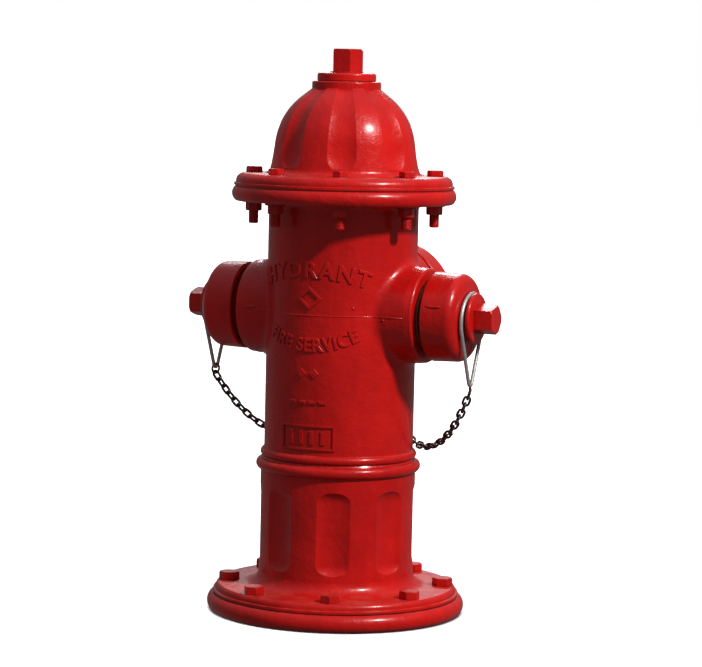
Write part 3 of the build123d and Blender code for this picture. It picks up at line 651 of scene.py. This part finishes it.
def bolt_threads():
    """Raised thread on the ends of the bonnet bolts, below their nuts."""
    pitch, steps = BOLT_THREAD_PITCH, BOLT_THREAD_STEPS
    turns = (BONNET_NUT_BOTTOM_Z - BOLT_END_Z - 0.003) / pitch
    for index in range(BONNET_BOLTS):
        angle = math.radians(22.5 + 45 * index)
        centre = Vector((math.cos(angle), math.sin(angle), 0)) * BONNET_BOLT_CIRCLE_R
        sections = []
        for step in range(int(turns * steps) + 1):
            turn = 2 * math.pi * step / steps
            ray = Vector((math.cos(turn), math.sin(turn), 0))
            height = BOLT_END_Z + 0.0016 + pitch * step / steps
            ring = []
            profile = ((-0.0003, -0.00075), (0.0006, -0.0002), (0.0006, 0.0002), (-0.0003, 0.00075))
            for out, up in profile:
                ring.append(centre + ray * (BONNET_BOLT_R + out) + Vector((0, 0, height + up)))
            sections.append(ring)
        verts, faces = swept(sections, closed=False)
        piece_from(f"bolt_thread_{index}", verts, faces, "red_enamel", "hydrant")


def casting_marks():
    """Small lumps and dashes on the barrel, the left boss and the right cap."""
    wart("pimple_upper", Vector((0.0555, -0.0832, 0.4150)), Vector((0.55, -0.83, 0)), Vector((0, 0, 1)),
         (0.0024, 0.0020, 0.0010))
    wart("pimple_lower", Vector((0.0890, -0.0633, 0.4000)), Vector((0, -1, -0.06)), Vector((1, 0, 0)),
         (0.0028, 0.0018, 0.0010))
    wart("boss_dash", Vector((-0.1060, -HOSE_BOSS_R + 0.0001, 0.4075)), Vector((0, -1, 0)),
         Vector((1, 0, 0.1)), (0.0105, 0.0024, 0.0018))
    tilt = math.radians(17)
    outward = Vector((0, -math.cos(tilt), math.sin(tilt)))
    wart("cap_dash", Vector((0.156, 0, OUTLET_Z)) + outward * 0.0588, outward, Vector((1, 0, 0)),
         (0.0115, 0.0021, 0.0014), "right_cap")


# ---- stage -----------------------------------------------------------------------------------
def build_floor():
    far = FLOOR_REACH
    verts = [(-far, -far, 0), (far, -far, 0), (far, far, 0), (-far, far, 0)]
    mesh = bpy.data.meshes.new("floor")
    mesh.from_pydata(verts, [], [(0, 1, 2, 3)])
    mesh.materials.append(finish_material("pale_floor", floor_finish))
    floor = bpy.data.objects.new("floor", mesh)
    bpy.context.scene.collection.objects.link(floor)
    floor.visible_diffuse = False
    floor.visible_glossy = False
    return floor


def spherical(azimuth, elevation):
    """Direction from the object towards a place; azimuth 0 is the -Y side and 90 the +X side."""
    a, e = math.radians(azimuth), math.radians(elevation)
    return Vector((math.sin(a) * math.cos(e), -math.cos(a) * math.cos(e), math.sin(e)))


def area_light(name, azimuth, elevation, distance, size, power, colour):
    light = bpy.data.lights.new(name, "AREA")
    light.shape = "DISK"
    light.size = size
    light.energy = power
    light.color = colour
    lamp = bpy.data.objects.new(name, light)
    away = spherical(azimuth, elevation)
    lamp.location = LIGHT_TARGET + away * distance
    lamp.rotation_mode = "QUATERNION"
    lamp.rotation_quaternion = away.to_track_quat("Z", "Y")
    bpy.context.scene.collection.objects.link(lamp)
    return lamp


def only_lights(lamp, name, objects):
    """Light linking: the lamp reaches only these objects."""
    group = bpy.data.collections.new(name)
    for piece in objects:
        group.objects.link(piece)
    lamp.light_linking.receiver_collection = group


def build_world():
    """White behind the object, and a soft sky above a dim ground for what lights it."""
    world = bpy.data.worlds.new("studio")
    bpy.context.scene.world = world
    world.use_nodes = True
    tree = world.node_tree
    direction = add(tree, "TexCoord").outputs["Generated"]
    height = add(tree, "SeparateXYZ", {"Vector": direction}).outputs["Z"]
    sky = ramp(
        tree, height,
        (0.0, (0.156, 0.138, 0.138)), (0.5, (0.248, 0.239, 0.248)), (1.0, (0.478, 0.506, 0.570)))
    seen = add(tree, "LightPath").outputs["Is Camera Ray"]
    tree.links.new(mix(tree, seen, sky, (1.0, 1.0, 1.0)), tree.nodes["Background"].inputs["Color"])


def build_lights(floor):
    """A key and a softer rear light for the object, and a lamp of its own that whitens the floor."""
    key = area_light("key", 72, 40, 3.4, 0.34, 118, (1.0, 0.97, 0.93))
    rear = area_light("rear", 203, 32, 3.6, 1.4, 55, (0.95, 0.97, 1.0))
    pieces = [piece for piece in bpy.context.scene.objects if piece.type == "MESH" and piece != floor]
    only_lights(key, "lit_by_key", pieces)
    only_lights(rear, "lit_by_rear", pieces)
    above = bpy.data.lights.new("above", "SUN")
    above.energy = 6.0
    above.angle = math.radians(60)
    lamp = bpy.data.objects.new("above", above)
    bpy.context.scene.collection.objects.link(lamp)
    only_lights(lamp, "lit_from_above", [floor])


def build_camera():
    """At the photograph's angle: 25 degrees round to the right, a little above the outlets."""
    data = bpy.data.cameras.new("view")
    data.lens = VIEW_LENS
    data.sensor_width = SENSOR_WIDTH
    camera = bpy.data.objects.new("view", data)
    azimuth, pitch, roll = (math.radians(angle) for angle in (VIEW_AZIMUTH, VIEW_PITCH, VIEW_ROLL))
    right = Vector((math.cos(azimuth), math.sin(azimuth), 0))
    back = Vector((math.sin(azimuth), -math.cos(azimuth), 0))
    look = Vector((-back.x * math.cos(pitch), -back.y * math.cos(pitch), -math.sin(pitch)))
    up = right.cross(look)
    turn = Matrix.Rotation(-roll, 3, look)
    right, up = turn @ right, turn @ up
    camera.location = back * VIEW_DISTANCE + Vector((math.cos(azimuth), math.sin(azimuth), 0)) * VIEW_SHIFT
    camera.location.z = VIEW_HEIGHT
    camera.rotation_mode = "QUATERNION"
    camera.rotation_quaternion = Matrix((right, up, -look)).transposed().to_quaternion()
    bpy.context.scene.collection.objects.link(camera)
    bpy.context.scene.camera = camera


paint_cad_nodes()
hanging_chain(
    "right_chain_links", HOSE_RING_AT, Vector((1, 0, 0)), SIDE_CHAIN_LINKS, SIDE_HOLD_TURN,
    "chain_right")
hanging_chain(
    "left_chain_links", HOSE_RING_AT, Vector((-1, 0, 0)), SIDE_CHAIN_LINKS, SIDE_HOLD_TURN,
    "chain_left")
hanging_chain(
    "pumper_chain_links", PUMPER_RING_AT, Vector((0, 1, 0)), PUMPER_CHAIN_LINKS, PUMPER_HOLD_TURN,
    "chain_pumper")
front_seam()
rear_seam(1)
rear_seam(-1)
casting_marks()
cast_relief()
bolt_threads()
stage_floor = build_floor()
build_world()
build_lights(stage_floor)
build_camera()
bpy.context.scene.view_settings.view_transform = "Standard"
